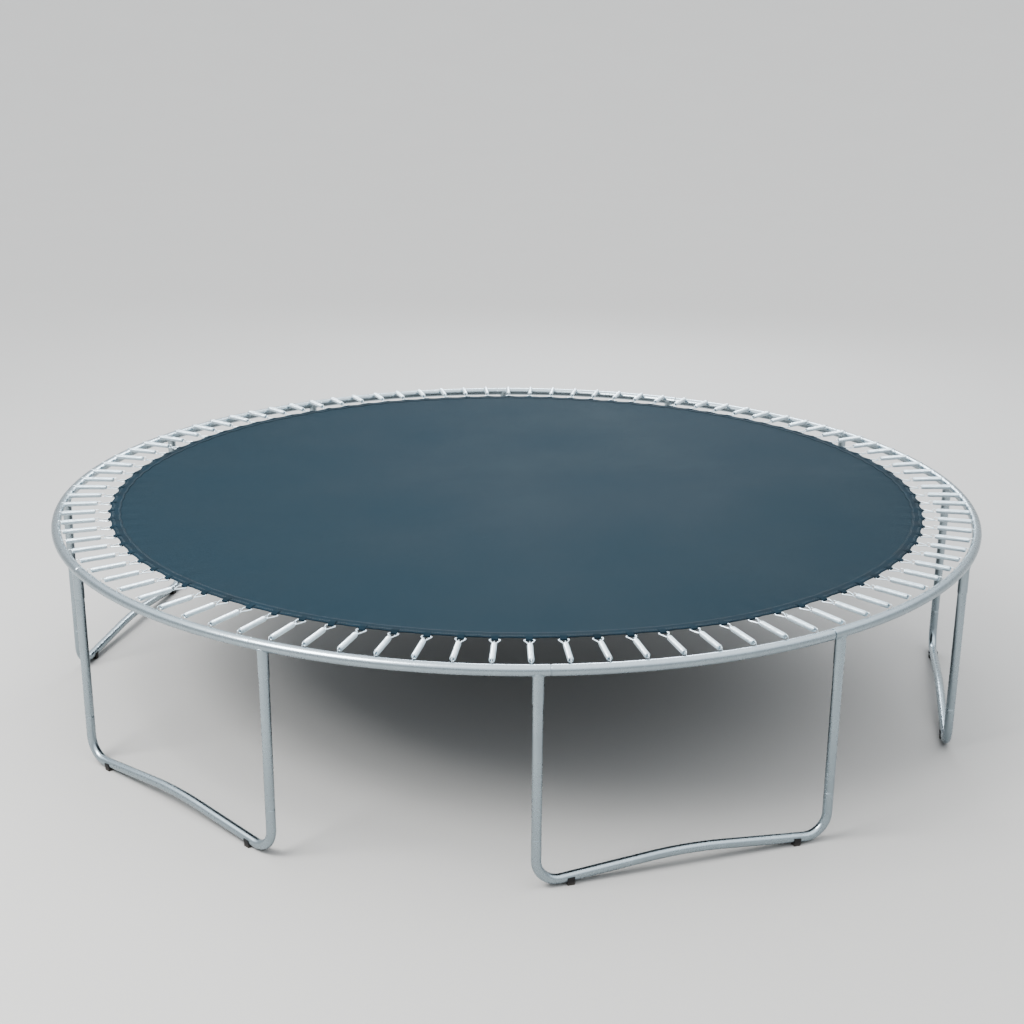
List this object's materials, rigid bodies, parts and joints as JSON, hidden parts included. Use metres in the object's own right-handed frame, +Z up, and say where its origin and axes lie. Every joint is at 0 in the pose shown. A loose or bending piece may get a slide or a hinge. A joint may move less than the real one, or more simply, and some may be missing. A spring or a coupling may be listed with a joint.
{
  "type": "backyard trampoline",
  "caption": "Round backyard trampoline: a galvanised rail ring on W-shaped tube legs, with a woven jump mat held in it by coil springs.",
  "frame": {"origin": "on the ground under the middle of the mat", "axes": "+Z up, -Y out of the middle of the first W-leg"},
  "size_m": [4.268, 4.268, 0.8911],
  "materials": {
    "galvanised_steel": "galvanised, faint spangle",
    "zinc_spring": "bright zinc plate",
    "black_rubber": "matt black",
    "mat_fabric": "tight woven polypropylene with a soft sheen",
    "edge_webbing": "woven webbing"
  },
  "bodies": {
    "frame": {"base_tube_01": "galvanised_steel", "base_tube_02": "galvanised_steel", "base_tube_03": "galvanised_steel", "base_tube_04": "galvanised_steel", "base_tube_05": "galvanised_steel", "base_tube_06": "galvanised_steel", "foot_cap_01": "black_rubber", "foot_cap_02": "black_rubber", "foot_cap_03": "black_rubber", "foot_cap_04": "black_rubber", "foot_cap_05": "black_rubber", "foot_cap_06": "black_rubber", "foot_cap_07": "black_rubber", "foot_cap_08": "black_rubber", "foot_cap_09": "black_rubber", "foot_cap_10": "black_rubber", "foot_cap_11": "black_rubber", "foot_cap_12": "black_rubber", "leg_tube_01": "galvanised_steel", "leg_tube_02": "galvanised_steel", "leg_tube_03": "galvanised_steel", "leg_tube_04": "galvanised_steel", "leg_tube_05": "galvanised_steel", "leg_tube_06": "galvanised_steel", "leg_tube_07": "galvanised_steel", "leg_tube_08": "galvanised_steel", "leg_tube_09": "galvanised_steel", "leg_tube_10": "galvanised_steel", "leg_tube_11": "galvanised_steel", "leg_tube_12": "galvanised_steel", "rail_segment_01": "galvanised_steel", "rail_segment_02": "galvanised_steel", "rail_segment_03": "galvanised_steel", "rail_segment_04": "galvanised_steel", "rail_segment_05": "galvanised_steel", "rail_segment_06": "galvanised_steel", "rail_segment_07": "galvanised_steel", "rail_segment_08": "galvanised_steel", "rail_segment_09": "galvanised_steel", "rail_segment_10": "galvanised_steel", "rail_segment_11": "galvanised_steel", "rail_segment_12": "galvanised_steel", "spring_set_01": "zinc_spring", "spring_set_02": "zinc_spring", "spring_set_03": "zinc_spring", "spring_set_04": "zinc_spring", "spring_set_05": "zinc_spring", "spring_set_06": "zinc_spring", "spring_set_07": "zinc_spring", "spring_set_08": "zinc_spring", "spring_set_09": "zinc_spring", "spring_set_10": "zinc_spring", "spring_set_11": "zinc_spring", "spring_set_12": "zinc_spring"},
    "mat": {"jump_mat": "mat_fabric", "edge_webbing": "edge_webbing"}
  },
  "joints": [
    {"name": "mat_bounce", "type": "slide", "parent": "frame", "child": "mat", "axis": [0, 0, 1], "range_m": [-0.15, 0.03], "stiffness_N_per_m": 5000, "springref_m": 0.0121, "deforming": ["spring_set_01", "spring_set_02", "spring_set_03", "spring_set_04", "spring_set_05", "spring_set_06", "spring_set_07", "spring_set_08", "spring_set_09", "spring_set_10", "spring_set_11", "spring_set_12"]}
  ]
}
